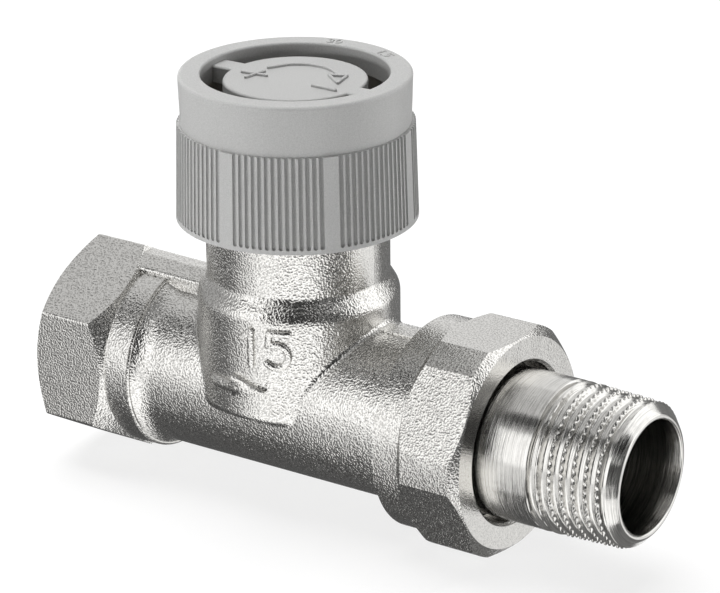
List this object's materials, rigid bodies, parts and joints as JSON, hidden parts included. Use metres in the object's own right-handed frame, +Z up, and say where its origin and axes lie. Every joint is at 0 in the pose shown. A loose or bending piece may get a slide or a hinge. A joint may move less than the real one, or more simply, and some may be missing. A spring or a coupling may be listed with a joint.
{
  "type": "straight thermostatic radiator valve",
  "caption": "Straight radiator valve with a hexagonal female inlet, an upright bonnet under a ribbed screw cap, and a union nut that holds a threaded outlet tailpiece.",
  "frame": {"origin": "centre of the inlet's end face, on the pipe axis", "axes": "+X along the pipe from the inlet to the outlet tailpiece, +Z up the bonnet's axis"},
  "size_m": [0.095, 0.0336, 0.0619],
  "materials": {
    "blasted_nickel": "nickel plated forging, fine blasted grain",
    "nut_nickel": "nickel plated, blasted flats",
    "turned_nickel": "nickel plated, turned",
    "bare_brass": "turned brass",
    "stainless_steel": "ground",
    "seal_rubber": "smooth black rubber",
    "white_plastic": "white plastic",
    "cap_plastic": "satin grey moulding"
  },
  "bodies": {
    "valve": {"valve_body": "blasted_nickel", "insert_housing": "bare_brass", "gland_nut": "bare_brass", "guide_bush": "bare_brass", "housing_seal_ring": "seal_rubber", "gland_seal_ring": "seal_rubber", "stem_seal_ring_upper": "seal_rubber", "stem_seal_ring_lower": "seal_rubber", "gland_washer": "white_plastic", "return_spring": "stainless_steel"},
    "spindle_group": {"spindle": "stainless_steel", "pressure_pin": "stainless_steel", "spring_plate": "stainless_steel", "spindle_clip": "stainless_steel", "disc_holder": "bare_brass", "sealing_disc": "seal_rubber", "disc_washer": "bare_brass", "disc_nut": "bare_brass"},
    "cap": {"protective_cap": "cap_plastic"},
    "tail": {"tailpiece": "turned_nickel"},
    "nut": {"union_nut": "nut_nickel"}
  },
  "joints": [
    {"name": "spindle_slide", "type": "slide", "parent": "valve", "child": "spindle_group", "axis": [0, 0, 1], "range_m": [-0.0025, 0], "deforming": ["return_spring"]},
    {"name": "cap_turn", "type": "hinge", "parent": "spindle_group", "child": "cap", "pos_m": [0.0378, 0, 0.036], "axis": [0, 0, 1], "range_deg": [-600, 0]},
    {"name": "tail_slide", "type": "slide", "parent": "valve", "child": "tail", "axis": [1, 0, 0], "range_m": [0, 0.00544]},
    {"name": "nut_turn", "type": "hinge", "parent": "tail", "child": "nut", "pos_m": [0.067, 0, 0], "axis": [1, 0, 0], "range_deg": [0, 1080]}
  ],
  "couplings": [
    {"joint": "spindle_slide", "follows": "cap_turn", "m_per_rad": 0.00023873},
    {"joint": "tail_slide", "follows": "nut_turn", "m_per_rad": 0.0002887}
  ]
}
